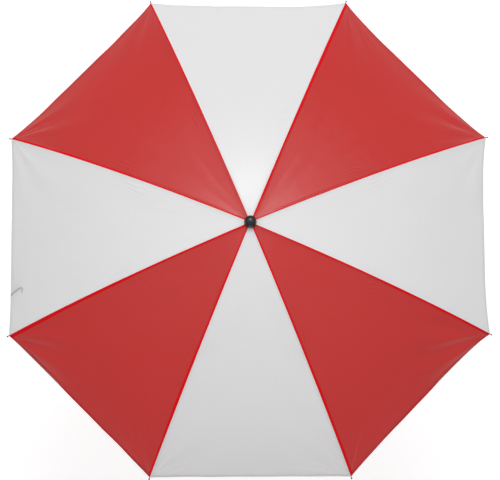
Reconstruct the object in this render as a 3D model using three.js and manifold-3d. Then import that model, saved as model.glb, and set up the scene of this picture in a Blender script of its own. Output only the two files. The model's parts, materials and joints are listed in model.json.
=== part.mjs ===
// Golf umbrella with eight ribs, open, handle down.
// Millimetres. The origin is the middle of the grip on the shaft's axis, and +Z runs up to the ferrule.
import * as THREE from 'three';
import { mergeVertices } from 'three/addons/utils/BufferGeometryUtils.js';
import Module from 'manifold-3d';

const wasm = await Module();
wasm.setup();
const { Manifold, Mesh: SolidMesh } = wasm;

// Driving dimensions.
const RIBS = 8;
const HALF_GORE = Math.PI / RIBS;
const CORNER_RADIUS = 625; // fabric corner to the shaft's axis
const NOTCH_RADIUS = 12.5; // rib pivots
const CROWN_SLOPE = 3 * Math.PI / 180;
const RIM_SLOPE = 41 * Math.PI / 180;
const JOINT_ARC = 320; // rib length from its pivot to the stretcher's joint
const JOINT_DROP = 5; // stretcher pivot below the rib's centre line
const STRETCHER = 360;
const RUNNER_RADIUS = 14; // stretcher feet
const RUNNER_TRAVEL = 421.05;
const SHAFT_R = 6;
const SHAFT_WALL = 0.8;
const GRIP_R = 16;
const GRIP_HALF = 95;
const COLLAR_TOP = 109;
const RUNNER_TUBE = 52; // from the stretcher feet down to the runner's lower edge
const RUNNER_Z = COLLAR_TOP + 3 + RUNNER_TUBE + RUNNER_TRAVEL;
const RIB_HALF_WIDTH = 1.5;
const RIB_HALF_DEPTH = 1.2;
const FABRIC_GAP = 0.75;
const FABRIC = 1; // stand-in thickness
const HEM_INSET = 8; // how far the rim's middle is pulled in between two ribs
const SPLIT = 0.2; // half the gap between neighbouring fabric pieces
const TIP_LENGTH = 9;
const FERRULE_R = 13.9;
const FERRULE_WALL = 9; // height of the ferrule's upright side
const FERRULE_HEIGHT = 22;

const ARC_RADIUS = (CORNER_RADIUS - NOTCH_RADIUS) / (Math.sin(RIM_SLOPE) - Math.sin(CROWN_SLOPE));
const RIB_LENGTH = ARC_RADIUS * (RIM_SLOPE - CROWN_SLOPE);

// A point of a rib's side view: length along the rib and height above its centre line, with
// heights measured from the rib's pivot.
const ribPoint = (length, above = 0) => {
  const slope = CROWN_SLOPE + length / ARC_RADIUS;
  return {
    r: NOTCH_RADIUS + ARC_RADIUS * (Math.sin(slope) - Math.sin(CROWN_SLOPE)) + above * Math.sin(slope),
    z: ARC_RADIUS * (Math.cos(slope) - Math.cos(CROWN_SLOPE)) + above * Math.cos(slope),
    slope,
  };
};

const JOINT = ribPoint(JOINT_ARC, -JOINT_DROP);
const STRETCHER_DROP = Math.sqrt(STRETCHER ** 2 - (JOINT.r - RUNNER_RADIUS) ** 2);
const NOTCH_Z = RUNNER_Z + STRETCHER_DROP - JOINT.z;
const STRETCHER_SLOPE = Math.atan2(STRETCHER_DROP, JOINT.r - RUNNER_RADIUS);

const group = new THREE.Group();
group.name = 'golf_umbrella';

const COLOURS = {
  white: [0xf0f0ee, 0.7, 0],
  red: [0xb92a2c, 0.7, 0],
  black: [0x121214, 0.35, 0],
  foam: [0x1c1c1e, 0.95, 0],
  steel: [0x9a9da1, 0.35, 1],
  nickel: [0xb9bbbd, 0.25, 1],
  webbing: [0x202022, 0.9, 0],
};

const add = (name, geometry, look) => {
  const [color, roughness, metalness] = COLOURS[look];
  const material = new THREE.MeshStandardMaterial({ color, roughness, metalness });
  material.name = `${name}_${look}`;
  const mesh = new THREE.Mesh(geometry, material);
  mesh.name = name;
  group.add(mesh);
};

const solid = (geometry) => {
  const plain = geometry.clone();
  plain.deleteAttribute('normal');
  plain.deleteAttribute('uv');
  const merged = mergeVertices(plain, 1e-4);
  return new Manifold(new SolidMesh({
    numProp: 3,
    vertProperties: new Float32Array(merged.attributes.position.array),
    triVerts: new Uint32Array(merged.index.array),
  }));
};

const geometryOf = (manifold) => {
  const mesh = manifold.getMesh();
  const geometry = new THREE.BufferGeometry();
  geometry.setAttribute('position', new THREE.BufferAttribute(new Float32Array(mesh.vertProperties), 3));
  geometry.setIndex([...mesh.triVerts]);
  return geometry;
};

const join = (...parts) => geometryOf(parts.map(solid).reduce((a, b) => a.add(b)));
const cut = (body, ...tools) => {
  const tool = tools.map(solid).reduce((a, b) => a.add(b));
  return geometryOf(solid(body).subtract(tool));
};

// A turned solid about Z from [radius, height] pairs listed from bottom to top along the outside.
const turned = (profile, segments = 24) => {
  const points = profile.map(([r, z]) => new THREE.Vector2(r, z));
  return new THREE.LatheGeometry(points, segments).rotateX(Math.PI / 2);
};

// A ring: the same, with a closed profile.
const ring = (profile, segments = 24) => turned([...profile, profile[0]], segments);

const box = (x0, x1, y0, y1, z0, z1) => {
  const geometry = new THREE.BoxGeometry(x1 - x0, y1 - y0, z1 - z0);
  return geometry.translate((x0 + x1) / 2, (y0 + y1) / 2, (z0 + z1) / 2);
};

// A plate in the radial plane at azimuth 0, from [radius, height] pairs, centred on that plane.
const plate = (outline, thickness) => {
  const shape = new THREE.Shape(outline.map(([r, z]) => new THREE.Vector2(r, z)));
  const geometry = new THREE.ExtrudeGeometry(shape, { depth: thickness, bevelEnabled: false });
  return geometry.translate(0, 0, -thickness / 2).rotateX(Math.PI / 2);
};

// A short cross pin along Y.
const pin = (r, z, radius, length) => new THREE.CylinderGeometry(radius, radius, length, 6)
  .rotateY(Math.PI / 6)
  .translate(r, 0, z);

const around = (geometry, angle) => geometry.clone().rotateZ(angle);

// A closed skin through rings of points, each ring listing the same section, capped at both ends.
const loft = (rings, capFaces) => {
  const count = rings[0].length;
  const positions = rings.flat(2);
  const faces = [];
  for (let i = 0; i + 1 < rings.length; i += 1) {
    for (let j = 0; j < count; j += 1) {
      const a = i * count + j;
      const b = i * count + (j + 1) % count;
      faces.push(a, b + count, b, a, a + count, b + count);
    }
  }
  const last = (rings.length - 1) * count;
  for (const [a, b, c] of capFaces) {
    faces.push(a, b, c, last + c, last + b, last + a);
  }
  const geometry = new THREE.BufferGeometry();
  geometry.setAttribute('position', new THREE.Float32BufferAttribute(positions, 3));
  geometry.setIndex(faces);
  return geometry;
};

// Section of a channel that opens downward: [across, height] pairs and the faces that close its ends.
const channel = (halfWidth, halfDepth, wall) => [
  [-halfWidth, -halfDepth],
  [-halfWidth, halfDepth],
  [halfWidth, halfDepth],
  [halfWidth, -halfDepth],
  [halfWidth - wall, -halfDepth],
  [halfWidth - wall, halfDepth - wall],
  [-halfWidth + wall, halfDepth - wall],
  [-halfWidth + wall, -halfDepth],
];
const CHANNEL_ENDS = [[0, 1, 7], [1, 6, 7], [1, 2, 6], [2, 5, 6], [2, 3, 5], [3, 4, 5]];

const ribBar = (from, to, steps) => {
  const section = channel(RIB_HALF_WIDTH, RIB_HALF_DEPTH, 0.6);
  const rings = [];
  for (let i = 0; i <= steps; i += 1) {
    const length = from + (to - from) * i / steps;
    rings.push(section.map(([across, above]) => {
      const { r, z } = ribPoint(length, above);
      return [r, across, z + NOTCH_Z];
    }));
  }
  return loft(rings, CHANNEL_ENDS);
};

const disc = (r, z, radius, thickness, segments = 8) => new THREE.CylinderGeometry(
  radius, radius, thickness, segments).translate(r, 0, z);

// Shaft: a steel tube with a slot for each catch.
const TOP_CATCH_Z = RUNNER_Z - RUNNER_TUBE - 11.4;
const BOTTOM_CATCH_Z = COLLAR_TOP + 27;
const SHAFT_BOTTOM = -GRIP_HALF + 4;
const SHAFT_TOP = NOTCH_Z + 15.5;
const shaftTube = ring([
  [SHAFT_R - SHAFT_WALL, SHAFT_BOTTOM],
  [SHAFT_R, SHAFT_BOTTOM],
  [SHAFT_R, SHAFT_TOP],
  [SHAFT_R - SHAFT_WALL, SHAFT_TOP],
]);
const catchSlot = (z) => box(0, SHAFT_R + 2, -1.6, 1.6, z - 12.5, z + 12.5);
add('shaft', cut(shaftTube, catchSlot(TOP_CATCH_Z), catchSlot(BOTTOM_CATCH_Z)), 'steel');

// A catch is a spring strip in the tube with a wedge through the slot. Its flat shoulder faces
// the way that `up` gives.
const sprungCatch = (z, up) => {
  const outline = [
    [3.2, -16],
    [4.6, -16],
    [4.6, -10],
    [SHAFT_R + 0.2, -10],
    [SHAFT_R + 2.8, 7],
    [SHAFT_R + 2.8, 11],
    [4.6, 11],
    [4.6, 16],
    [3.2, 16],
  ].map(([r, dz]) => [r, z + up * dz]);
  return plate(up > 0 ? outline : outline.reverse(), 2.4);
};
add('top_catch', sprungCatch(TOP_CATCH_Z, 1), 'nickel');
add('bottom_catch', sprungCatch(BOTTOM_CATCH_Z, -1), 'nickel');

// Handle: a foam grip on the shaft, with a collar above it and an end cap below.
add('grip', ring([
  [SHAFT_R + 0.2, -GRIP_HALF],
  [GRIP_R - 1.5, -GRIP_HALF],
  [GRIP_R, -GRIP_HALF + 2],
  [GRIP_R, -60],
  [GRIP_R - 1.2, -30],
  [GRIP_R - 1.2, 20],
  [GRIP_R - 0.4, 60],
  [GRIP_R - 1, GRIP_HALF - 6],
  [GRIP_R - 3, GRIP_HALF],
  [SHAFT_R + 0.2, GRIP_HALF],
]), 'foam');
add('handle_collar', ring([
  [SHAFT_R + 0.2, GRIP_HALF + 0.3],
  [GRIP_R - 2.2, GRIP_HALF + 0.3],
  [GRIP_R - 2.2, GRIP_HALF + 4],
  [SHAFT_R + 3.2, COLLAR_TOP - 2],
  [SHAFT_R + 2.4, COLLAR_TOP],
  [SHAFT_R + 0.2, COLLAR_TOP],
]), 'black');
add('handle_cap', turned([
  [0, -GRIP_HALF - 16],
  [GRIP_R - 2, -GRIP_HALF - 16],
  [GRIP_R + 0.5, -GRIP_HALF - 13],
  [GRIP_R + 0.5, -GRIP_HALF - 0.3],
  [SHAFT_R + 0.3, -GRIP_HALF - 0.3],
  [SHAFT_R - 1.1, -GRIP_HALF - 0.3],
  [SHAFT_R - 1.1, -GRIP_HALF + 10],
  [0, -GRIP_HALF + 10],
]), 'black');

// Notch: the ring of slots under the crown that the ribs turn in, and the wire that holds them.
const notchBody = ring([
  [SHAFT_R + 0.15, NOTCH_Z - 18],
  [SHAFT_R + 2.6, NOTCH_Z - 18],
  [SHAFT_R + 3.4, NOTCH_Z - 7],
  [NOTCH_RADIUS + 2.6, NOTCH_Z - 5],
  [NOTCH_RADIUS + 2.6, NOTCH_Z + 1.5],
  [SHAFT_R + 0.15, NOTCH_Z + 1.5],
]);
const notchCuts = [ring([
  [NOTCH_RADIUS - 0.9, NOTCH_Z - 0.7],
  [NOTCH_RADIUS + 4, NOTCH_Z - 0.7],
  [NOTCH_RADIUS + 4, NOTCH_Z + 0.7],
  [NOTCH_RADIUS - 0.9, NOTCH_Z + 0.7],
])];
for (let k = 0; k < RIBS; k += 1) {
  const slot = box(NOTCH_RADIUS - 2, NOTCH_RADIUS + 6, -1.1, 1.1, NOTCH_Z - 8, NOTCH_Z + 3);
  notchCuts.push(around(slot, HALF_GORE * (2 * k + 1)));
}
add('notch', cut(notchBody, ...notchCuts), 'black');
add('notch_wire', ring([
  [NOTCH_RADIUS - 0.45, NOTCH_Z - 0.45],
  [NOTCH_RADIUS + 0.45, NOTCH_Z - 0.45],
  [NOTCH_RADIUS + 0.45, NOTCH_Z + 0.45],
  [NOTCH_RADIUS - 0.45, NOTCH_Z + 0.45],
].map(([r, z]) => [r / Math.cos(HALF_GORE), z]), RIBS), 'steel');

// Washer over the fabric and, above it, the ferrule: a button with an upright side and a domed top.
add('canopy_cap', ring([
  [SHAFT_R + 0.2, NOTCH_Z + 1.8],
  [NOTCH_RADIUS - 2, NOTCH_Z + 1.8],
  [NOTCH_RADIUS - 2, NOTCH_Z + 3.3],
  [14.3, NOTCH_Z + 3.3],
  [14.3, NOTCH_Z + 4.1],
  [13.6, NOTCH_Z + 4.7],
  [SHAFT_R + 0.2, NOTCH_Z + 4.7],
]), 'black');
const FERRULE_Z = NOTCH_Z + 5;
const DOME_STEPS = 7;
const DOME_POWER = 2 / 2.4; // 1 is an ellipse, and less is squarer
const ferruleDome = [];
for (let i = 0; i < DOME_STEPS; i += 1) {
  const angle = Math.PI / 2 * i / DOME_STEPS;
  ferruleDome.push([
    FERRULE_R * Math.cos(angle) ** DOME_POWER,
    FERRULE_Z + FERRULE_WALL + (FERRULE_HEIGHT - FERRULE_WALL) * Math.sin(angle) ** DOME_POWER,
  ]);
}
add('ferrule', turned([
  [0, FERRULE_Z + 12],
  [SHAFT_R + 0.15, FERRULE_Z + 12],
  [SHAFT_R + 0.15, FERRULE_Z],
  [FERRULE_R - 0.5, FERRULE_Z],
  [FERRULE_R, FERRULE_Z + 0.8],
  ...ferruleDome,
  [0, FERRULE_Z + FERRULE_HEIGHT],
]), 'black');

// Runner: a tube on the shaft with a slotted crown. Its slots are open below and outside.
const runnerBody = ring([
  [SHAFT_R + 0.25, RUNNER_Z - RUNNER_TUBE],
  [12.6, RUNNER_Z - RUNNER_TUBE],
  [13, RUNNER_Z - RUNNER_TUBE + 1],
  [13, RUNNER_Z - RUNNER_TUBE + 3],
  [10.5, RUNNER_Z - RUNNER_TUBE + 6],
  [10.5, RUNNER_Z - 12],
  [RUNNER_RADIUS + 3.4, RUNNER_Z - 5],
  [RUNNER_RADIUS + 3.4, RUNNER_Z + 4],
  [RUNNER_RADIUS + 1.6, RUNNER_Z + 6],
  [SHAFT_R + 0.25, RUNNER_Z + 6],
]);
const keyway = box(0, SHAFT_R + 3.3, -1.7, 1.7, RUNNER_Z - RUNNER_TUBE - 2, RUNNER_Z + 8);
const windowZ = RUNNER_Z - RUNNER_TRAVEL;
const runnerWindow = box(
  0, 16, -1.9, 1.9,
  BOTTOM_CATCH_Z - 11.6 + RUNNER_Z - windowZ, BOTTOM_CATCH_Z + 10.6 + RUNNER_Z - windowZ,
);
const runnerCuts = [keyway, runnerWindow];
for (let k = 0; k < RIBS; k += 1) {
  const slot = box(RUNNER_RADIUS - 2.7, RUNNER_RADIUS + 6, -2.1, 2.1, RUNNER_Z - 14, RUNNER_Z + 8);
  runnerCuts.push(around(slot, HALF_GORE * (2 * k + 1)));
}
add('runner', cut(runnerBody, ...runnerCuts), 'black');

// One rib: an inner length with an eye at the notch and a lug for the stretcher, an outer length
// that flexes against it, and a ball tip.
const eyeZ = NOTCH_Z;
const ribEye = cut(
  join(
    disc(NOTCH_RADIUS, eyeZ, 1.2, 1.6),
    plate([
      [NOTCH_RADIUS, eyeZ - 0.9],
      [ribPoint(9, -0.9).r, eyeZ + ribPoint(9, -0.9).z],
      [ribPoint(9, 0.9).r, eyeZ + ribPoint(9, 0.9).z],
      [NOTCH_RADIUS, eyeZ + 0.9],
    ], 1.6),
  ),
  pin(NOTCH_RADIUS, eyeZ, 0.72, 4),
);
const jointZ = NOTCH_Z + JOINT.z;
const lugBase = (length) => {
  const { r, z } = ribPoint(length, RIB_HALF_DEPTH - 0.3);
  return [r, z + NOTCH_Z];
};
const lug = cut(
  join(
    disc(JOINT.r, jointZ, 2, 1.4),
    plate([
      [JOINT.r - 1.9, jointZ + 0.4],
      [JOINT.r + 1.9, jointZ - 0.6],
      lugBase(JOINT_ARC - 0.4),
      lugBase(JOINT_ARC - 6),
    ], 1.4),
  ),
  pin(JOINT.r, jointZ, 0.85, 4),
);
const ribInner = join(ribBar(6, JOINT_ARC - 0.25, 6), ribEye, lug);
const ribOuter = ribBar(JOINT_ARC + 0.25, RIB_LENGTH - 2, 7);
const tipAt = ribPoint(RIB_LENGTH - 1.7);
const ribTip = turned([
  [0, 0],
  [1.1, 0],
  [1.1, TIP_LENGTH - 1.4],
  [1.9, TIP_LENGTH - 0.2],
  [2, TIP_LENGTH + 0.9],
  [1.3, TIP_LENGTH + 2.2],
  [0, TIP_LENGTH + 2.6],
], 8)
  .rotateY(Math.PI / 2 + tipAt.slope)
  .translate(tipAt.r, 0, tipAt.z + NOTCH_Z);

// One stretcher, drawn along X from its joint with the rib (x = 0) to its foot, then laid in place.
const forkWall = 0.5;
const stretcherSection = channel(1.8, 1.4, forkWall).map(([across, above]) => [across, -above]).reverse();
const stretcherEnds = CHANNEL_ENDS.map((face) => face.map((i) => 7 - i).reverse());
const webRings = [7, STRETCHER - 9].map((x) => stretcherSection.map(([across, above]) => [x, across, above]));
const stretcherParts = [loft(webRings, stretcherEnds)];
for (const side of [-1, 1]) {
  const cheek = join(
    disc(0, 0, 2, forkWall),
    plate([[0, -1.4], [8, -1.4], [8, 1.4], [0, 1.4]], forkWall),
  );
  stretcherParts.push(cheek.translate(0, side * (1.8 - forkWall / 2), 0));
}
stretcherParts.push(pin(0, 0, 0.75, 3.2));
stretcherParts.push(plate([
  [STRETCHER - 12, -1.2],
  [STRETCHER, -1.2],
  [STRETCHER, 1.2],
  [STRETCHER - 12, 1.2],
], 3));
stretcherParts.push(disc(STRETCHER, 0, 1.6, 3));
const stretcher = cut(join(...stretcherParts), pin(STRETCHER, 0, 0.75, 6))
  .rotateY(Math.PI - STRETCHER_SLOPE)
  .translate(JOINT.r, 0, jointZ);

for (let k = 0; k < RIBS; k += 1) {
  const angle = HALF_GORE * (2 * k + 1);
  add(`rib_inner_${k + 1}`, around(ribInner, angle), 'steel');
  add(`rib_outer_${k + 1}`, around(ribOuter, angle), 'steel');
  add(`rib_tip_${k + 1}`, around(ribTip, angle), 'nickel');
  add(`stretcher_${k + 1}`, around(stretcher, angle), 'steel');
}

// Half of one gore, drawn beside azimuth 0, which is the gore's middle. `side` is -1 for the half
// on the rib before it and 1 for the half on the rib after it. Cross-sections of the canopy are
// straight between ribs.
const ALONG = 11;
const ACROSS = 2;
const halfGore = (side) => {
  const rows = [];
  for (const above of [RIB_HALF_DEPTH + FABRIC_GAP, RIB_HALF_DEPTH + FABRIC_GAP + FABRIC]) {
    for (let i = 0; i <= ALONG; i += 1) {
      for (let j = 0; j <= ACROSS; j += 1) {
        const share = j / ACROSS;
        const end = RIB_LENGTH - HEM_INSET * (1 - share * share);
        const { r, z } = ribPoint(-0.6 + (end + 0.6) * i / ALONG, above);
        const reach = r * Math.sin(HALF_GORE);
        const y = SPLIT + (reach - SPLIT / Math.cos(HALF_GORE) - SPLIT) * share;
        rows.push([r * Math.cos(HALF_GORE), side * y, z + NOTCH_Z]);
      }
    }
  }
  const width = ACROSS + 1;
  const layer = width * (ALONG + 1);
  const faces = [];
  const quad = (a, b, c, d) => {
    const order = side > 0 ? [a, b, c, a, c, d] : [a, c, b, a, d, c];
    faces.push(...order);
  };
  for (let i = 0; i < ALONG; i += 1) {
    for (let j = 0; j < ACROSS; j += 1) {
      const a = i * width + j;
      quad(a, a + 1, a + width + 1, a + width);
      quad(layer + a, layer + a + width, layer + a + width + 1, layer + a + 1);
    }
    const inner = i * width;
    const outer = inner + ACROSS;
    quad(inner, inner + width, layer + inner + width, layer + inner);
    quad(outer, layer + outer, layer + outer + width, outer + width);
  }
  for (let j = 0; j < ACROSS; j += 1) {
    const last = ALONG * width + j;
    quad(j, layer + j, layer + j + 1, j + 1);
    quad(last, last + 1, layer + last + 1, layer + last);
  }
  const geometry = new THREE.BufferGeometry();
  geometry.setAttribute('position', new THREE.Float32BufferAttribute(rows.flat(), 3));
  geometry.setIndex(faces);
  return geometry;
};
const halves = { a: halfGore(-1), b: halfGore(1) };
for (let k = 1; k <= RIBS; k += 1) {
  const look = k % 2 ? 'red' : 'white';
  add(`gore_${k}_leaf_a`, around(halves.a, HALF_GORE * 2 * k), look);
  add(`gore_${k}_leaf_b`, around(halves.b, HALF_GORE * 2 * k), look);
}

// Closing strap: sewn by its short end under one gore near the rim, hanging down.
const STRAP_AZIMUTH = 193 * Math.PI / 180;
const STRAP_LENGTH = 130;
const STRAP_WIDTH = 28;
const STRAP_GORE_AZIMUTH = Math.PI;
const strapTop = (length) => {
  const { r, z } = ribPoint(length, RIB_HALF_DEPTH + FABRIC_GAP);
  const radius = r * Math.cos(HALF_GORE) / Math.cos(STRAP_AZIMUTH - STRAP_GORE_AZIMUTH);
  return [radius, z + NOTCH_Z - 1.5];
};
const strapOuter = strapTop(RIB_LENGTH - 16);
const strapInner = strapTop(RIB_LENGTH - 16 - STRAP_WIDTH);
add('closing_strap', around(plate([
  strapInner,
  [strapInner[0], strapInner[1] - STRAP_LENGTH],
  [strapOuter[0], strapOuter[1] - STRAP_LENGTH],
  strapOuter,
], 1.2), STRAP_AZIMUTH), 'webbing');

export default group;
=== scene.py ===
"""Golf umbrella, open and held upright. Metres, +Z up, the origin in the middle of the grip."""

import json
import math

import bpy
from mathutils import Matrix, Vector


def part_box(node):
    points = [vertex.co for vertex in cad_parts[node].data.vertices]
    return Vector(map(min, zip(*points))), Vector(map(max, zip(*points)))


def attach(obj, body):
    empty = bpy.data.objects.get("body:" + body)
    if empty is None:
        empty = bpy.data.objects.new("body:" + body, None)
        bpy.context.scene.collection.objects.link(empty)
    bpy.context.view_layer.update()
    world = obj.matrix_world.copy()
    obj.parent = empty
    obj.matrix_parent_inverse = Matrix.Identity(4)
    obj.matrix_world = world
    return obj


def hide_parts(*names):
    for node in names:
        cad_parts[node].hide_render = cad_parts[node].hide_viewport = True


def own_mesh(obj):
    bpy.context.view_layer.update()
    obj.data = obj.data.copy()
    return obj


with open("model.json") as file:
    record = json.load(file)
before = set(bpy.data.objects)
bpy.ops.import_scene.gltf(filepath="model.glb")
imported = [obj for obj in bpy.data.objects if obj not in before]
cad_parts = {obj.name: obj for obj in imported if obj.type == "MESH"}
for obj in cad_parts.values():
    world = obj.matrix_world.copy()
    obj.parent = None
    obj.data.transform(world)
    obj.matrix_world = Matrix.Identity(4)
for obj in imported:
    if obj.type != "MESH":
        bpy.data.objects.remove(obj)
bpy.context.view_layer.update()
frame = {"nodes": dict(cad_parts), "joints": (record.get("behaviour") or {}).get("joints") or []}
JOINTS = {joint["name"]: joint for joint in frame["joints"]}
NODES = frame["nodes"]

# Shape of the canopy. The rib's arc starts at the notch and has these slopes at its ends.
RIBS = 8
HALF_GORE = math.pi / RIBS
CROWN_SLOPE = math.radians(3)
RIM_SLOPE = math.radians(41)
CORNER_RADIUS = 0.625
NOTCH = Vector(JOINTS["rib_1_hinge"]["pos_m"])
NOTCH_RADIUS = NOTCH.xy.length
ARC_RADIUS = (CORNER_RADIUS - NOTCH_RADIUS) / (math.sin(RIM_SLOPE) - math.sin(CROWN_SLOPE))
RIB_LENGTH = ARC_RADIUS * (RIM_SLOPE - CROWN_SLOPE)
FLEX = Vector(JOINTS["rib_1_flex"]["pos_m"])
FLEX_GAP = 0.0005  # from the end of a rib's inner length to the joint
FLEX_SLOPE = math.asin((FLEX.xy.length - NOTCH_RADIUS) / ARC_RADIUS + math.sin(CROWN_SLOPE))
JOINT_ARC = ARC_RADIUS * (FLEX_SLOPE - CROWN_SLOPE) - FLEX_GAP
STRETCHER_PIN = Vector(JOINTS["stretcher_1_hinge"]["pos_m"])
RUNNER_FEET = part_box("runner")[1].z - 0.006  # height of the wire through the stretchers' feet
RUNNER_RADIUS = 0.014  # of that wire's ring
SHAFT_RADIUS = (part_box("shaft")[1].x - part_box("shaft")[0].x) / 2

RIB_HALF_WIDTH = 0.0015
RIB_HALF_DEPTH = 0.0012
RIB_WALL = 0.0005
CLIP_WALL = 0.0004
CLOTH_ABOVE = 0.0019  # the cloth lies this far above the ribs' centre lines
CLOTH_START = 0.0015  # the cloth's first row is this far along the ribs
SEAM = 0.006
SEAM_LIFT = 0.0003  # a red seam lies this far over the white one
# Seam widths beside a gore's first and second rib, as shares of SEAM.
SEAM_SHARES = {1: (0.6, 1.1), 3: (0.55, 0.8), 5: (1.1, 1.0), 7: (1.0, 0.85)}
HEM = 0.008
HEM_DROP = 0.0006  # the turned hem lies this far under the cloth
HEM_INSETS = (0.015, 0.017, 0.0105, 0.005, 0.002, 0.001, 0.010, 0.015)  # each gore's rim, pulled in
HEM_LEANS = {2: -0.25, 7: 0.35}  # how much more the rim is pulled in beside the gore's second rib
SADDLE = 0.003  # the cloth dips this far between the ribs
GORE_COLOURS = ("white", "red")
STRAP_GORE = 4
# The middle line of the strap's painted shadow, as (sideways, from the rim) places in its gore.
STRAP_SHADOW_PATH = ((0.142, 0.002), (0.134, 0.018), (0.127, 0.038), (0.130, 0.044), (0.136, 0.042))


def gore_colour(gore):
    return GORE_COLOURS[gore % 2]


def rib_point(length, above=0.0):
    """(radius, height) of a point along a rib, above its centre line."""
    slope = CROWN_SLOPE + length / ARC_RADIUS
    radius = NOTCH_RADIUS + ARC_RADIUS * (math.sin(slope) - math.sin(CROWN_SLOPE))
    height = NOTCH.z + ARC_RADIUS * (math.cos(slope) - math.cos(CROWN_SLOPE))
    return radius + above * math.sin(slope), height + above * math.cos(slope)


def turn(points, azimuth):
    """Points drawn at azimuth 0, turned about Z."""
    c, s = math.cos(azimuth), math.sin(azimuth)
    return [(x * c - y * s, x * s + y * c, z) for x, y, z in points]


def mesh_object(name, points, faces, smooth=True, sharp_above=35):
    """A new object; edges that turn by more than sharp_above degrees stay sharp."""
    mesh = bpy.data.meshes.new(name)
    mesh.from_pydata(points, [], faces)
    mesh.validate()
    mesh.update()
    if smooth:
        mesh.shade_smooth()
        mesh.set_sharp_from_angle(angle=math.radians(sharp_above))
    else:
        mesh.shade_flat()
    made = bpy.data.objects.new(name, mesh)
    bpy.context.scene.collection.objects.link(made)
    return made


def dress(piece, material):
    piece.data.materials.clear()
    piece.data.materials.append(material)
    return piece


# ---------------------------------------------------------------- materials


class Shader:
    """A material with one Principled shader, and short ways to add nodes to it."""

    def __init__(self, name):
        self.material = bpy.data.materials.new(name)
        self.material.use_nodes = True
        self.tree = self.material.node_tree
        self.principled = self.tree.nodes["Principled BSDF"]
        self.output = self.tree.nodes["Material Output"]

    def set(self, **sockets):
        for name, value in sockets.items():
            self.principled.inputs[name.replace("_", " ")].default_value = value

    def node(self, kind, **settings):
        made = self.tree.nodes.new(kind)
        for name, value in settings.items():
            setattr(made, name, value)
        return made

    def feed(self, socket, value):
        if isinstance(value, bpy.types.NodeSocket):
            self.tree.links.new(value, socket)
        else:
            socket.default_value = value

    def math(self, operation, a, b=0.0, clamp=False):
        made = self.node("ShaderNodeMath", operation=operation, use_clamp=clamp)
        self.feed(made.inputs[0], a)
        self.feed(made.inputs[1], b)
        return made.outputs[0]

    def times(self, *factors):
        product = factors[0]
        for factor in factors[1:]:
            product = self.math("MULTIPLY", product, factor)
        return product

    def plus(self, *terms):
        total = terms[0]
        for term in terms[1:]:
            total = self.math("ADD", total, term)
        return total

    def minus(self, a, b):
        return self.math("SUBTRACT", a, b)

    def wave(self, value, length):
        """A sine with this wavelength."""
        return self.math("SINE", self.times(value, 2 * math.pi / length))

    def band(self, value, centre, inner, outer):
        """1 within inner of the centre, 0 beyond outer."""
        return self.ramp(self.math("ABSOLUTE", self.minus(value, centre)), inner, outer, 1, 0)

    def uv(self, name):
        """The two numbers of a UV map."""
        source = self.node("ShaderNodeUVMap", uv_map=name)
        split = self.node("ShaderNodeSeparateXYZ")
        self.feed(split.inputs[0], source.outputs[0])
        return split.outputs[0], split.outputs[1]

    def vector(self, x=0.0, y=0.0, z=0.0):
        made = self.node("ShaderNodeCombineXYZ")
        for socket, value in zip(made.inputs, (x, y, z)):
            self.feed(socket, value)
        return made.outputs[0]

    def object_place(self):
        return self.node("ShaderNodeTexCoord").outputs["Object"]

    def noise(self, place, scale, detail=2.0, roughness=0.5):
        made = self.node("ShaderNodeTexNoise")
        self.feed(made.inputs["Vector"], place)
        self.feed(made.inputs["Scale"], scale)
        self.feed(made.inputs["Detail"], detail)
        self.feed(made.inputs["Roughness"], roughness)
        return made.outputs["Fac"]

    def ramp(self, value, low, high, to_low=0.0, to_high=1.0, smooth=True):
        kind = "SMOOTHSTEP" if smooth else "LINEAR"
        made = self.node("ShaderNodeMapRange", interpolation_type=kind)
        for socket, number in zip(made.inputs, (value, low, high, to_low, to_high)):
            self.feed(socket, number)
        return made.outputs[0]

    def mix(self, share, a, b):
        made = self.node("ShaderNodeMix", data_type="RGBA")
        self.feed(made.inputs["Factor"], share)
        self.feed(made.inputs["A"], a)
        self.feed(made.inputs["B"], b)
        return made.outputs["Result"]

    def bump(self, height, distance, strength=1.0, after=None):
        made = self.node("ShaderNodeBump")
        self.feed(made.inputs["Height"], height)
        self.feed(made.inputs["Distance"], distance)
        self.feed(made.inputs["Strength"], strength)
        if after is not None:
            self.feed(made.inputs["Normal"], after)
        return made.outputs[0]

    def link(self, socket, value):
        self.feed(self.principled.inputs[socket], value)


CLOTH_LOOKS = {
    # plain, doubled (seam and hem; on red also the painted glow at the rim's cut edge), light
    # through it
    "white": ((0.80, 0.80, 0.81, 1), (0.86, 0.86, 0.86, 1), (0.85, 0.85, 0.86, 1)),
    "red": ((0.52, 0.038, 0.034, 1), (0.82, 0.0, 0.004, 1), (0.72, 0.05, 0.05, 1)),
}


CLOTH_ROUGHNESS = (0.285, 0.335)
CLOTH_SPECULAR = 0.42
SEAM_SPECULAR = {"white": 0.35, "red": 0.06}
THROUGH = (0.22, 0.08)  # share of light that passes single cloth and doubled cloth
THREAD = 0.0007
THREAD_DEPTH = 0.00002
STITCH = 0.0032
STITCH_DEPTH = 0.00035  # also the step at a seam's edge
FAN_DEPTH, DRAWN_DEPTH, SLACK_DEPTH, RIPPLE_DEPTH = 0.0020, 0.0016, 0.0009, 0.00022
RIPPLE_WAVES = 620.0  # radians per metre from the rib
RIPPLE_PLACE = 0.455  # share of the rib's length where the ripples lie
# colour of the strap's painted shadow in its panel
STRAP_SHADE = (0.2, 0.2, 0.21, 1)


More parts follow.
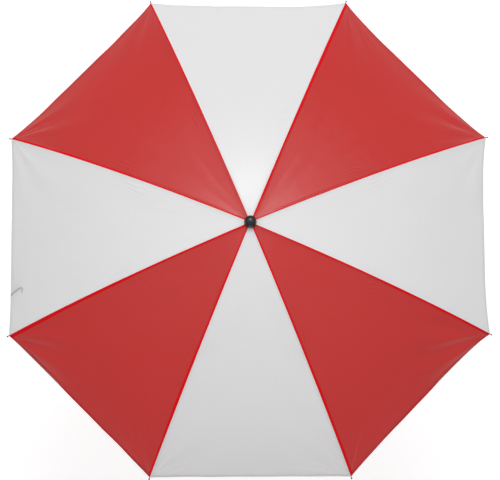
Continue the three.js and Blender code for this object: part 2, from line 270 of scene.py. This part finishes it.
def cloth_material(colour, gore):
    """Thin woven polyester: weave, creases that fan from the rib corners, seams and hem, with a
    painted glow along the red rim's edge and the strap's painted shadow on its panel.
    """
    plain, doubled, through = CLOTH_LOOKS[colour]
    red = colour == "red"
    s = Shader(f"cloth_{colour}_{gore}")
    s.set(Sheen_Weight=0.03, Sheen_Roughness=0.4)
    lateral, along = s.uv("cloth")
    from_rib, from_rim = s.uv("edge")
    across, share = s.uv("panel")
    side = s.math("SIGN", lateral)

    # Doubled cloth: a felled seam of uneven width beside each rib, and the turned hem; on red, a
    # painted glow of light through the rim's cut edge, in the doubled colour.
    wander = s.noise(s.vector(s.times(share, 5.0), s.times(side, 3.0), gore * 7.1), 1.0, 1)
    first, second = SEAM_SHARES.get(gore, (1, 1))
    seam_width = s.times(
        SEAM,
        s.ramp(wander, 0.3, 0.7, 0.75, 1.2, smooth=False),
        s.ramp(side, -1, 1, first, second, smooth=False),
        s.ramp(share, 0, 0.9, 0.58, 1.3, smooth=False),
    )
    past_seam = s.minus(from_rib, seam_width)
    seam = s.ramp(past_seam, -0.0005, 0.0004, 1, 0)
    hem = s.ramp(from_rim, HEM - 0.0006, HEM + 0.0006, 1, 0)
    # on red, a painted glow: a saturated line where light shows through the rim's cut edge; only a
    # faint share is the real turned hem
    edge = s.times(s.ramp(from_rim, 0.0020, 0.0045, 1, 0), 0.8)
    hem_and_rim_glow = s.math("MAXIMUM", edge, s.times(hem, 0.15)) if red else hem
    doubled_and_rim_glow = s.math("MAXIMUM", seam, hem_and_rim_glow)
    drift = s.noise(s.vector(s.times(lateral, 5.0), s.times(along, 3.0), gore), 1.0, 3)
    shade = doubled if red else (0.74, 0.74, 0.76, 1)
    toned = s.mix(s.ramp(drift, 0.3, 0.7, 0, 0.10), plain, shade)
    base = s.mix(s.times(doubled_and_rim_glow, 0.95 if red else 0.35), toned, doubled)
    # painted shadow: the strap under the cloth is drawn as a darker mark in the panel's colour
    if gore == STRAP_GORE:
        base = s.mix(s.times(strap_shadow(s, lateral, from_rim), 0.55), base, STRAP_SHADE)
    s.link("Base Color", base)
    s.link("Roughness", s.plus(s.ramp(drift, 0.2, 0.8, *CLOTH_ROUGHNESS), s.times(seam, 0.3)))
    s.link("Specular IOR Level", s.ramp(
        seam, 0, 1, CLOTH_SPECULAR, SEAM_SPECULAR[colour], smooth=False))

    # Creases: a fan at each rim corner, ripples beside the tie in the middle of each rib, slack.
    reach = s.math("SQRT", s.plus(s.times(from_rib, from_rib), s.times(from_rim, from_rim)))
    bearing = s.math("ARCTAN2", from_rim, s.plus(from_rib, 0.004))
    fan = s.noise(s.vector(
        s.times(bearing, 4.5), s.times(reach, 3.0), s.plus(side, gore * 3.7)), 1.0, 2, 0.45)
    fan = s.times(fan, s.ramp(reach, 0.02, 0.22, 1, 0), s.ramp(reach, 0.0, 0.03, 0, 1))
    phase = s.noise(s.vector(s.times(share, 9.0), s.times(from_rib, 14.0), gore * 5.3), 1.0, 2)
    ripple = s.math("SINE", s.plus(s.times(from_rib, RIPPLE_WAVES), s.times(phase, 26.0)))
    tied = s.band(share, s.plus(RIPPLE_PLACE, s.times(side, 0.03)), 0.01, 0.075)
    ripple = s.times(
        ripple, tied, s.ramp(from_rib, SEAM, 0.014, 0, 1), s.ramp(from_rib, 0.018, 0.058, 1, 0))
    drawn = s.noise(s.vector(s.times(across, 3.0), s.times(share, 1.6), gore * 1.9), 1.0, 3, 0.5)
    drawn = s.times(drawn, s.ramp(share, 0.05, 0.4))
    slack = s.noise(s.vector(
        s.times(lateral, 9.0), s.times(along, 16.0), gore * 2.3), 1.0, 3, 0.55)
    folds = s.plus(
        s.times(drawn, DRAWN_DEPTH), s.times(slack, SLACK_DEPTH), s.times(ripple, RIPPLE_DEPTH),
        s.times(fan, FAN_DEPTH))
    creased = s.bump(folds, 1.0)

    # Seam edge and stitches.
    seam_row = s.band(past_seam, -0.0014, 0.0002, 0.0005)
    seam_row = s.times(seam_row, s.ramp(s.wave(along, STITCH), -0.4, 0.2, 0, 1))
    hem_row = s.band(from_rim, HEM - 0.0016, 0.0002, 0.0005)
    hem_row = s.times(hem_row, s.ramp(s.wave(lateral, STITCH), -0.4, 0.2, 0, 1))
    step = s.minus(
        s.times(s.math("MAXIMUM", seam, hem), STITCH_DEPTH),
        s.times(s.math("MAXIMUM", seam_row, hem_row), STITCH_DEPTH))
    edged = s.bump(step, 1.0, 0.8, creased)

    # Weave.
    weave = s.times(s.wave(along, THREAD), s.wave(lateral, THREAD))
    s.link("Normal", s.bump(weave, THREAD_DEPTH, 0.4, edged))

    # Thin cloth lets some light through; a doubled seam lets less.
    glow = s.node("ShaderNodeBsdfTranslucent")
    s.feed(glow.inputs["Color"], through)
    s.feed(glow.inputs["Normal"], creased)
    blend = s.node("ShaderNodeMixShader")
    s.feed(blend.inputs["Fac"], s.ramp(doubled_and_rim_glow, 0, 1, *THROUGH, smooth=False))
    s.feed(blend.inputs[1], s.principled.outputs[0])
    s.feed(blend.inputs[2], glow.outputs[0])
    s.feed(s.output.inputs["Surface"], blend.outputs[0])
    return s.material


def strap_shadow(s, lateral, from_rim):
    """A painted shadow where the closing strap's sewn end lies under its panel: a bar with a hooked
    end.
    """
    place = s.vector(lateral, from_rim)
    near = None
    for (a, b), (c, d) in zip(STRAP_SHADOW_PATH, STRAP_SHADOW_PATH[1:]):
        start, span = Vector((a, b, 0)), Vector((c - a, d - b, 0))
        offset = s.node("ShaderNodeVectorMath", operation="SUBTRACT")
        s.feed(offset.inputs[0], place)
        offset.inputs[1].default_value = start
        down = s.node("ShaderNodeVectorMath", operation="DOT_PRODUCT")
        s.feed(down.inputs[0], offset.outputs[0])
        down.inputs[1].default_value = span / span.length_squared
        foot = s.node("ShaderNodeVectorMath", operation="SCALE")
        foot.inputs[0].default_value = span
        share = s.math("MULTIPLY", down.outputs["Value"], 1.0, clamp=True)
        s.feed(foot.inputs["Scale"], share)
        away = s.node("ShaderNodeVectorMath", operation="DISTANCE")
        s.feed(away.inputs[0], offset.outputs[0])
        s.feed(away.inputs[1], foot.outputs[0])
        far = away.outputs["Value"]
        near = far if near is None else s.math("MINIMUM", near, far)
    return s.ramp(near, 0.0010, 0.0052, 1, 0)


def plastic_material(name, roughness=0.24):
    """Glossy black moulding, a little uneven, with fine scratches."""
    s = Shader(name)
    place = s.object_place()
    s.set(Specular_IOR_Level=0.5)
    broad = s.noise(place, 60, 3)
    s.link("Base Color", s.mix(broad, (0.008, 0.008, 0.009, 1), (0.016, 0.016, 0.018, 1)))
    scuffed = s.noise(place, 300, 4)
    s.link("Roughness", s.ramp(scuffed, 0.3, 0.7, roughness - 0.05, roughness + 0.10))
    s.link("Normal", s.bump(s.noise(place, 900, 2), 0.00002, 0.4))
    return s.material


def foam_material():
    """Closed-cell foam: matt, with fine pores and worn lighter patches."""
    s = Shader("foam")
    place = s.object_place()
    pores = s.node("ShaderNodeTexVoronoi")
    s.feed(pores.inputs["Vector"], place)
    s.feed(pores.inputs["Scale"], 1100)
    s.set(Specular_IOR_Level=0.25)
    worn = s.ramp(s.noise(place, 25, 4), 0.35, 0.75)
    s.link("Base Color", s.mix(worn, (0.011, 0.011, 0.012, 1), (0.026, 0.026, 0.028, 1)))
    s.link("Roughness", s.ramp(s.noise(place, 200, 3), 0.3, 0.7, 0.78, 0.95))
    s.link("Normal", s.bump(pores.outputs["Distance"], 0.0003, 0.6))
    return s.material


def metal_material(name, colour, roughness, grain_along_z=True):
    """Plated steel with fine drawing lines."""
    s = Shader(name)
    place = s.object_place()
    stretch = s.node("ShaderNodeMapping")
    s.feed(stretch.inputs["Vector"], place)
    stretch.inputs["Scale"].default_value = (1, 1, 0.04) if grain_along_z else (0.3, 0.3, 1)
    lines = s.noise(stretch.outputs[0], 900, 3)
    s.set(Metallic=1.0)
    darker = tuple(0.82 * c for c in colour[:3]) + (1,)
    s.link("Base Color", s.mix(s.noise(place, 40, 3), colour, darker))
    s.link("Roughness", s.ramp(lines, 0.25, 0.75, roughness - 0.06, roughness + 0.10))
    s.link("Normal", s.bump(lines, 0.00003, 0.5))
    return s.material


def webbing_material():
    """Dark woven tape, its raised threads painted lighter and the hollows of its weave painted
    darker, as light and shade.
    """
    s = Shader("webbing")
    along, across = s.uv("tape")
    woven = s.times(s.wave(along, 0.0012), s.wave(across, 0.0018))
    s.set(Sheen_Weight=0.2, Specular_IOR_Level=0.3)
    weave_light_and_shade = s.ramp(woven, -1, 1)
    # painted light and shade: raised threads lighter, hollows of the weave darker
    s.link("Base Color", s.mix(weave_light_and_shade, (0.016, 0.016, 0.018, 1), (0.05, 0.05, 0.055, 1)))
    s.link("Roughness", s.ramp(woven, -1, 1, 0.72, 0.9))
    s.link("Normal", s.bump(woven, 0.0001, 0.8))
    return s.material


CLOTH = {gore: cloth_material(gore_colour(gore), gore) for gore in range(1, RIBS + 1)}
PLASTIC = plastic_material("black_plastic")
FERRULE_PLASTIC = plastic_material("ferrule_plastic", 0.25)
FOAM = foam_material()
STEEL = metal_material("plated_steel", (0.52, 0.53, 0.55, 1), 0.30)
RIB_STEEL = metal_material("rib_steel", (0.45, 0.46, 0.48, 1), 0.36, grain_along_z=False)
NICKEL = metal_material("nickel", (0.42, 0.42, 0.43, 1), 0.24)
TIP_STEEL = metal_material("tip_steel", (0.11, 0.11, 0.115, 1), 0.34)
WEBBING = webbing_material()


# ------------------------------------------------------------------- canopy

ALONG = 88
ACROSS = 26
FIRST_ROW = 0.02  # the first row stands this share of a row from the crown, so it has a width
# How strongly the cloth folds at a rib's corner, by gore and side. Other corners fold faintly.
CORNER_FOLDS = {(7, 1): 1.0, (5, -1): 0.8, (1, -1): 0.35, (3, 1): 0.35, (4, -1): 0.35, (8, 1): 0.3}
FAINT_FOLD = 0.12
FOLD_DEPTH = 0.0030
FOLD_REACH = 0.07  # distance from the rib's corner at which its folds are deepest
FOLD_SWELL = 1.4
PLEATS, PLEAT_PHASE = 9.4, -1.5  # waves of the fan over the corner's bearing
CREASE_DEPTH, CREASE_REACH, CREASES = 0.00025, 0.06, 23
SLACK = 0.0006
SEAM_COLUMNS = (0.0, 0.3, 0.7, 0.97, 1.06, 1.5)  # distances from the rib, in seam widths


def gore_columns(reach):
    """Distances from the rib to the gore's middle, closer together over the seam."""
    scale = min(1.0, reach / (4 * SEAM)) * SEAM
    near = [c * scale for c in SEAM_COLUMNS]
    rest = [near[-1] + (reach - near[-1]) * j / ACROSS for j in range(1, ACROSS + 1)]
    return near + rest


def creases(gore, side, from_rib, from_rim, share, lateral):
    """Small real folds: a fan out of the rib's corner, and slack along the panel."""
    reach = math.hypot(from_rib, from_rim)
    bearing = math.atan2(from_rim, from_rib + 1e-6)
    depth = FOLD_DEPTH * CORNER_FOLDS.get((gore, side), FAINT_FOLD)
    swell = (reach / FOLD_REACH) ** FOLD_SWELL * math.exp(FOLD_SWELL * (1 - reach / FOLD_REACH))
    waver = 0.4 * math.sin(9 * reach + gore)
    fan = depth * swell * math.sin(PLEATS * bearing + PLEAT_PHASE + waver)
    fine = math.sin(CREASES * bearing + 2.9 * gore - side)
    fan += CREASE_DEPTH * math.exp(-reach / CREASE_REACH) * fine
    fan *= min(1.0, from_rib / 0.02)
    slack = math.sin(55 * from_rib + gore) * math.sin(9 * share + 2.1 * gore + side)
    slack *= SLACK * min(1.0, from_rib / 0.05)
    near_middle = min(1.0, lateral / 0.35)
    return (fan + slack) * near_middle * near_middle * (3 - 2 * near_middle)


def gore_point(gore, side, i, j, under):
    """A point of the cloth beside azimuth 0, with its UV numbers. side is -1 on the half before
    the gore's middle and 1 after it; under is how far past the rim the hem is turned back."""
    share = i / ALONG
    guess = rib_point(RIB_LENGTH * share)[0] * math.sin(HALF_GORE)
    lateral = 1 - gore_columns(guess)[j] / guess  # 1 on the rib, 0 in the middle
    lean = HEM_LEANS.get(gore, 0) * side * lateral
    inset = HEM_INSETS[gore - 1] * (1 - lateral ** 4) * (1 + lean)
    end = RIB_LENGTH - inset
    length = CLOTH_START + (end - CLOTH_START) * share - under
    bow = SADDLE * (1 - lateral * lateral) * math.sin(math.pi * min(1, share)) ** 0.8
    radius, _ = rib_point(length)
    reach = radius * math.sin(HALF_GORE)
    from_rib, from_rim = (1 - lateral) * reach, end - length
    above = CLOTH_ABOVE - bow
    if under:
        above -= HEM_DROP
    else:
        above += creases(gore, side, from_rib, from_rim, share, lateral)
    if gore_colour(gore) == "red" and from_rib < SEAM:
        above += SEAM_LIFT
    radius, height = rib_point(length, above)
    place = (radius * math.cos(HALF_GORE), side * lateral * radius * math.sin(HALF_GORE), height)
    return place, (side * lateral * reach, length), (from_rib, from_rim), (side * lateral, share)


def build_leaf(gore, half):
    """One half of a gore, sewn to its rib, with the hem turned under at the rim."""
    side = -1 if half == "a" else 1
    columns = len(SEAM_COLUMNS) + ACROSS
    rows = [(i, 0.0) for i in range(ALONG + 1)] + [(ALONG, 0.0008), (ALONG, HEM)]
    points, maps = [], {"cloth": [], "edge": [], "panel": []}
    for i, under in rows:
        i = max(i, FIRST_ROW)
        for j in range(columns):
            point, cloth, edge, panel = gore_point(gore, side, i, j, under)
            points.append(point)
            for name, value in zip(maps, (cloth, edge, panel)):
                maps[name].append(value)
    faces = []
    for i in range(len(rows) - 1):
        for j in range(columns - 1):
            a = i * columns + j
            loop = (a, a + 1, a + 1 + columns, a + columns)
            faces.append(loop if side > 0 else loop[::-1])
    azimuth = 2 * HALF_GORE * gore
    leaf = mesh_object(f"canopy_{gore}_{half}", turn(points, azimuth), faces, sharp_above=80)
    for name, values in maps.items():
        layer = leaf.data.uv_layers.new(name=name)
        for loop in leaf.data.loops:
            layer.data[loop.index].uv = values[loop.vertex_index]
    dress(leaf, CLOTH[gore])
    return leaf


def rib_frame(rib):
    """(azimuth, pivot at the notch, fabric corner, unit chord) of a rib at rest."""
    azimuth = HALF_GORE * (2 * rib - 1)
    out = Vector((math.cos(azimuth), math.sin(azimuth), 0))
    radius, height = rib_point(RIB_LENGTH)
    start = out * NOTCH_RADIUS + Vector((0, 0, NOTCH.z))
    corner = out * radius + Vector((0, 0, height))
    return azimuth, start, corner, (corner - start).normalized()


for gore in range(1, RIBS + 1):
    for half in "ab":
        leaf = build_leaf(gore, half)
        cad = f"gore_{gore}_leaf_{half}"
        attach(leaf, cad)
        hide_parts(cad)
        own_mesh(leaf)
        rib = gore if half == "a" else gore % RIBS + 1


# --------------------------------------------------------------------- ribs


def channel_strip(lengths, half_width, half_depth, wall):
    """A channel that opens downward along a stretch of rib, drawn at azimuth 0."""
    lip = wall * 0.4
    section = [
        (-half_width, -half_depth), (-half_width, half_depth - lip),
        (-half_width + lip, half_depth), (half_width - lip, half_depth),
        (half_width, half_depth - lip), (half_width, -half_depth),
        (half_width - wall, -half_depth), (half_width - wall, half_depth - wall),
        (-half_width + wall, half_depth - wall), (-half_width + wall, -half_depth),
    ]
    points = []
    for length in lengths:
        for across, above in section:
            radius, height = rib_point(length, above)
            points.append((radius, across, height))
    n = len(section)
    faces = []
    for i in range(len(lengths) - 1):
        for j in range(n):
            a, b = i * n + j, i * n + (j + 1) % n
            faces.append((a, a + n, b + n, b))
    ends = [(0, 1, 8, 9), (1, 2, 3, 4), (1, 4, 7, 8), (4, 5, 6, 7)]
    last = (len(lengths) - 1) * n
    for face in ends:
        faces.append(face)
        faces.append(tuple(last + v for v in reversed(face)))
    return points, faces


def spaced(start, end, steps):
    return [start + (end - start) * i / steps for i in range(steps + 1)]


def add_rib(rib):
    """The two lengths of one rib. Sprung steel straightens as the umbrella closes."""
    azimuth, start, corner, _ = rib_frame(rib)
    flex = Vector(JOINTS[f"rib_{rib}_flex"]["pos_m"])
    stretches = (
        ("inner", 0.006, JOINT_ARC + 0.0002, start, flex),
        ("outer", JOINT_ARC - 0.0002, RIB_LENGTH - 0.002, flex, corner),
    )
    for word, first, last, near, far in stretches:
        points, faces = channel_strip(
            spaced(first, last, 20), RIB_HALF_WIDTH, RIB_HALF_DEPTH, RIB_WALL)
        piece = mesh_object(f"rib_{rib}_{word}", turn(points, azimuth), faces)
        dress(piece, RIB_STEEL)
        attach(piece, f"rib_{word}_{rib}")
        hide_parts(f"rib_{word}_{rib}")
        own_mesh(piece)


def lathe(name, profile, steps, ends=True):
    """A turned piece about Z from (radius, height) pairs."""
    points, faces = [], []
    for radius, height in profile:
        for k in range(steps):
            angle = 2 * math.pi * k / steps
            points.append((radius * math.cos(angle), radius * math.sin(angle), height))
    for i in range(len(profile) - 1):
        for k in range(steps):
            a, b = i * steps + k, i * steps + (k + 1) % steps
            faces.append((a, b, b + steps, a + steps))
    if ends:
        faces.append(tuple(reversed(range(steps))))
        last = (len(profile) - 1) * steps
        faces.append(tuple(last + k for k in range(steps)))
    return mesh_object(name, points, faces, sharp_above=40)


def rounded(corners, steps=4, share=0.25):
    """The corner points of an outline with each inner corner rounded by a short curve."""
    out = [corners[0]]
    for a, b, c in zip(corners, corners[1:], corners[2:]):
        cut = share * min(math.dist(a, b), math.dist(b, c))
        before = Vector(b) + (Vector(a) - Vector(b)).normalized() * cut
        after = Vector(b) + (Vector(c) - Vector(b)).normalized() * cut
        for i in range(steps + 1):
            t = i / steps
            out.append(tuple(before * (1 - t) ** 2 + Vector(b) * 2 * t * (1 - t) + after * t ** 2))
    out.append(corners[-1])
    return out


def cross_pin(name, centre, azimuth, radius, half_length, dome=0.0006, steps=16):
    """A rivet across a rib: a short shank with domed heads."""
    profile = [(0.0001, -half_length - dome), (radius * 1.2, -half_length - dome * 0.7),
               (radius * 1.6, -half_length), (radius, -half_length), (radius, half_length),
               (radius * 1.6, half_length), (radius * 1.2, half_length + dome * 0.7),
               (0.0001, half_length + dome)]
    pin = lathe(name, profile, steps)
    pin.rotation_euler = (math.pi / 2, 0, azimuth)
    pin.location = centre
    return dress(pin, NICKEL)


LUG_RADIUS = 0.002


def add_rib_clip(rib):
    """The folded clip at the middle of a rib that the stretcher's fork is riveted to."""
    azimuth = rib_frame(rib)[0]
    stations = spaced(JOINT_ARC - 0.011, JOINT_ARC - 0.0006, 6)
    points, faces = channel_strip(
        stations, RIB_HALF_WIDTH + 0.0003, RIB_HALF_DEPTH + 0.0003, CLIP_WALL)
    clip = mesh_object(f"rib_{rib}_clip", turn(points, azimuth), faces)
    dress(clip, NICKEL)
    pin_radius, pin_height = STRETCHER_PIN.xy.length, STRETCHER_PIN.z
    radius, height = rib_point(JOINT_ARC - 0.005, -0.0004)
    toe_radius, toe_height = rib_point(JOINT_ARC - 0.0012, -0.0004)
    outline = [(radius, height), (toe_radius, toe_height)]
    for k in range(9):
        angle = 0.25 - math.pi * k / 8
        outline.append((pin_radius + LUG_RADIUS * math.cos(angle),
                        pin_height + LUG_RADIUS * math.sin(angle)))
    lug = [(r, y, z) for y in (-0.0006, 0.0006) for r, z in outline]
    n = len(outline)
    sides = [(k, (k + 1) % n, (k + 1) % n + n, k + n) for k in range(n)]
    caps = [tuple(reversed(range(n))), tuple(range(n, 2 * n))]
    ear = mesh_object(f"rib_{rib}_lug", turn(lug, azimuth), sides + caps)
    dress(ear, NICKEL)
    for piece in (clip, ear):
        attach(piece, f"rib_inner_{rib}")


for rib in range(1, RIBS + 1):
    add_rib(rib)
    add_rib_clip(rib)
    pin_place = Vector(JOINTS[f"stretcher_{rib}_hinge"]["pos_m"])
    azimuth = rib_frame(rib)[0]
    rivet = cross_pin(f"rivet_{rib}", pin_place, azimuth, 0.0007, 0.0018)
    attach(rivet, f"stretcher_{rib}")
    tip = dress(NODES[f"rib_tip_{rib}"], TIP_STEEL)
    tip.data.shade_smooth()


# ------------------------------------------------- shaft, runner and handle


def shell(name, outline, bore, steps=64):
    """A turned shell with a bore through it, from (radius, height) corners bottom to top."""
    bottom, top = outline[0][1], outline[-1][1]
    profile = [(bore, bottom)] + rounded(outline) + [(bore, top), (bore, bottom)]
    return lathe(name, profile, steps, ends=False)


def soften(node, material, width=0.0003, angle=32):
    """Keeps a CAD node and rounds its edges a little."""
    piece = NODES[node]
    dress(piece, material)
    piece.data.shade_smooth()
    piece.data.set_sharp_from_angle(angle=math.radians(angle))
    bevel = piece.modifiers.new("edges", "BEVEL")
    bevel.width = width
    bevel.segments = 2
    bevel.limit_method = "ANGLE"
    bevel.angle_limit = math.radians(angle)
    bevel.harden_normals = True


soften("shaft", STEEL, 0.0002)
soften("notch", PLASTIC)
soften("runner", PLASTIC)
soften("notch_wire", STEEL, 0.0001)
soften("top_catch", NICKEL, 0.0002)
soften("bottom_catch", NICKEL, 0.0002)
for rib in range(1, RIBS + 1):
    soften(f"stretcher_{rib}", RIB_STEEL, 0.0001)


SHOULDER = 0.009  # height of the ferrule's upright side
DOME_POWER = 2 / 2.4  # below 1 makes a fuller dome than a sphere's
DOME_STEPS = 24


def add_ferrule():
    """A button with an upright side and a domed top."""
    low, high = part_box("ferrule")
    size, tip = high.x, high.z
    shoulder = low.z + SHOULDER
    side = [(size - 0.0007, low.z), (size, low.z + 0.0009), (size, low.z + 0.0045)]
    dome = []
    for k in range(DOME_STEPS):
        angle = math.pi / 2 * k / DOME_STEPS
        out, up = math.cos(angle) ** DOME_POWER, math.sin(angle) ** DOME_POWER
        dome.append((size * out, shoulder + (tip - shoulder) * up))
    profile = rounded(side + dome[:1], steps=4, share=0.4) + dome[1:] + [(0.0001, tip)]
    ferrule = dress(lathe("ferrule_dome", profile, 72), FERRULE_PLASTIC)
    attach(ferrule, "shaft")
    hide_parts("ferrule")


def add_washer():
    """The washer that holds the cloth under the ferrule."""
    low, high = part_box("canopy_cap")
    outline = [(high.x - 0.0006, low.z + 0.0015), (high.x, low.z + 0.0020),
               (high.x - 0.0001, high.z - 0.0007), (high.x - 0.0008, high.z)]
    washer = dress(shell("crown_washer", outline, SHAFT_RADIUS + 0.0002), FERRULE_PLASTIC)
    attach(washer, "shaft")
    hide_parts("canopy_cap")


def add_grip():
    """Foam grip with a slight swell in the palm, between a collar and an end cap."""
    low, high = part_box("grip")
    size = high.x
    outline = []
    for k in range(25):
        share = k / 24
        swell = 0.5 - 0.5 * math.cos(2 * math.pi * (share + 0.06))
        taper = 0.0022 * max(0.0, (share - 0.86) / 0.14) ** 2
        foot = 0.0012 * max(0.0, 1 - share / 0.02) ** 2
        outline.append((size - 0.0011 * swell - taper - foot, low.z + (high.z - low.z) * share))
    grip = dress(shell("foam_grip", outline, SHAFT_RADIUS + 0.0003), FOAM)
    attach(grip, "shaft")
    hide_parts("grip")


def add_handle_ends():
    """The collar over the foam grip and the cap under it."""
    low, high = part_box("handle_collar")
    size = high.x
    outline = [(size - 0.0004, low.z), (size, low.z + 0.0006), (size, low.z + 0.0036),
               (size - 0.0022, low.z + 0.0062), (SHAFT_RADIUS + 0.0034, high.z - 0.0022),
               (SHAFT_RADIUS + 0.0026, high.z)]
    collar = dress(shell("grip_collar", outline, SHAFT_RADIUS + 0.0002), PLASTIC)
    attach(collar, "shaft")
    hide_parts("handle_collar")

    low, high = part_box("handle_cap")
    size, top = high.x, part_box("grip")[0].z - 0.0003
    corners = [(0.0001, low.z + 0.0004), (size - 0.0045, low.z + 0.0004), (size - 0.0045, low.z),
               (size - 0.0022, low.z), (size, low.z + 0.0030), (size, low.z + 0.0090),
               (size - 0.0006, low.z + 0.0096), (size, low.z + 0.0102), (size, top),
               (0.0001, top)]
    cap = dress(lathe("grip_end_cap", rounded(corners, steps=3), 64), PLASTIC)
    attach(cap, "shaft")
    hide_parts("handle_cap")


def add_runner_wire():
    """The wire through the stretchers' feet."""
    steps, round_steps, wire = 96, 8, 0.0006
    points, faces = [], []
    for k in range(steps):
        angle = 2 * math.pi * k / steps
        for m in range(round_steps):
            turn_angle = 2 * math.pi * m / round_steps
            radius = RUNNER_RADIUS + wire * math.cos(turn_angle)
            points.append((radius * math.cos(angle), radius * math.sin(angle),
                           RUNNER_FEET + wire * math.sin(turn_angle)))
    for k in range(steps):
        for m in range(round_steps):
            a, b = k * round_steps + m, k * round_steps + (m + 1) % round_steps
            on = ((k + 1) % steps) * round_steps
            faces.append((a, on + m, on + (m + 1) % round_steps, b))
    wire_ring = dress(mesh_object("runner_wire", points, faces, sharp_above=60), NICKEL)
    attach(wire_ring, "runner")


add_ferrule()
add_washer()
add_grip()
add_handle_ends()
add_runner_wire()


# ------------------------------------------------------------ closing strap


STRAP_WIDTH = 0.028


def add_strap():
    """A tape sewn by one end under a white panel, hanging, with a press stud near its free end."""
    low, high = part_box("closing_strap")
    joint = JOINTS["closing_strap_fold"]
    middle, along = Vector(joint["pos_m"]), Vector(joint["axis"])
    if along.z > 0:
        along = -along
    long = high.z - low.z - abs(along.z) * STRAP_WIDTH
    sideways = Vector((-along.y, along.x, 0)).normalized()
    points, faces, tape = [], [], []
    rows, columns = 40, 8
    for i in range(rows + 1):
        drop = i / rows
        down = long * i / rows
        for j in range(columns + 1):
            share = j / columns - 0.5
            hang = 0.0035 * math.sin(2.6 * drop) * drop + 0.0012 * math.sin(7 * drop) * share
            across = share * STRAP_WIDTH
            point = middle + along * across + Vector((0, 0, -down)) + sideways * hang
            points.append(tuple(point))
            tape.append((down, across))
    for i in range(rows):
        for j in range(columns):
            a = i * (columns + 1) + j
            faces.append((a, a + 1, a + columns + 2, a + columns + 1))
    strap = mesh_object("strap_tape", points, faces)
    layer = strap.data.uv_layers.new(name="tape")
    for loop in strap.data.loops:
        layer.data[loop.index].uv = tape[loop.vertex_index]
    dress(strap, WEBBING)
    thick = strap.modifiers.new("tape", "SOLIDIFY")
    thick.thickness = 0.0009
    thick.offset = 0
    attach(strap, "closing_strap")
    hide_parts("closing_strap")

    stud_place = middle + Vector((0, 0, -long + 0.014)) + sideways * 0.003
    profile = rounded([(0.0002, -0.0016), (0.0048, -0.0016), (0.0052, -0.0009), (0.0052, 0.0009),
                       (0.0042, 0.0018), (0.0026, 0.0021), (0.0002, 0.0021)], steps=3)
    stud = dress(lathe("strap_stud", profile, 32), NICKEL)
    stud.rotation_euler = sideways.to_track_quat("Z", "Y").to_euler()
    stud.location = stud_place
    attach(stud, "closing_strap")


add_strap()


# ---------------------------------------------------- floor, light, camera


FLOOR_HALF = 30.0
FLOOR_LEVEL = -0.95
FLOOR_GLOW = 0.45  # lit from below, like a light table
WORLD_LIGHT = 0.28  # even light from all round
CAMERA_PLACE = Vector((-0.038, -0.532, 4.181))  # from the middle of the rim
CAMERA_TILT = (7.12, -0.51, -0.25)  # degrees about X, Y and Z
LENS = 125.3  # mm


def add_floor():
    signs = ((-1, -1), (1, -1), (1, 1), (-1, 1))
    corners = [(x * FLOOR_HALF, y * FLOOR_HALF, FLOOR_LEVEL) for x, y in signs]
    floor = mesh_object("floor", corners, [(0, 1, 2, 3)], smooth=False)
    s = Shader("pale_floor")
    s.set(Specular_IOR_Level=0.2)
    place = s.object_place()
    s.link("Base Color", s.mix(s.noise(place, 3, 2), (0.93, 0.93, 0.93, 1), (0.95, 0.95, 0.95, 1)))
    s.link("Roughness", s.ramp(s.noise(place, 8, 2), 0.3, 0.7, 0.8, 0.9))
    s.set(Emission_Color=(1, 1, 1, 1), Emission_Strength=FLOOR_GLOW)
    dress(floor, s.material)


def add_lamp(name, place, target, power, size):
    lamp = bpy.data.lights.new(name, "AREA")
    lamp.shape = "RECTANGLE"
    lamp.size, lamp.size_y = size
    lamp.energy = power
    made = bpy.data.objects.new(name, lamp)
    bpy.context.scene.collection.objects.link(made)
    made.location = place
    made.rotation_euler = (Vector(target) - Vector(place)).to_track_quat("-Z", "Y").to_euler()


def light_scene():
    """A wide softbox over the umbrella, and brighter, smaller ones over its far side."""
    crown = Vector((0, 0, NOTCH.z - 0.1))
    add_lamp("ceiling", (0.0, 0.15, 5.7), (0, 0.15, 0), 128, (12.4, 11.3))
    add_lamp("key", (0.0, 2.9, 5.65), (0, 2.9, 0), 132, (10.4, 5.8))
    add_lamp("hot", (0.15, 2.4, 5.6), (0.15, 2.4, 0), 90, (1.6, 1.5))
    add_lamp("front", (0.0, -4.6, 3.2), crown, 12, (3.0, 2.0))
    world = bpy.data.worlds.new("studio")
    bpy.context.scene.world = world
    world.use_nodes = True
    background = world.node_tree.nodes["Background"]
    background.inputs["Color"].default_value = (1, 1, 1, 1)
    background.inputs["Strength"].default_value = WORLD_LIGHT
    bpy.context.scene.view_settings.view_transform = "Standard"


def add_camera():
    """Looks down on the crown from a little to the side of the shaft, through a long lens."""
    rim = Vector((0, 0, rib_point(RIB_LENGTH)[1]))
    data = bpy.data.cameras.new("camera")
    data.sensor_width = 36
    data.lens = LENS
    data.clip_end = 100
    camera = bpy.data.objects.new("camera", data)
    bpy.context.scene.collection.objects.link(camera)
    camera.location = rim + CAMERA_PLACE
    camera.rotation_euler = [math.radians(degrees) for degrees in CAMERA_TILT]
    bpy.context.scene.camera = camera


add_floor()
light_scene()
add_camera()
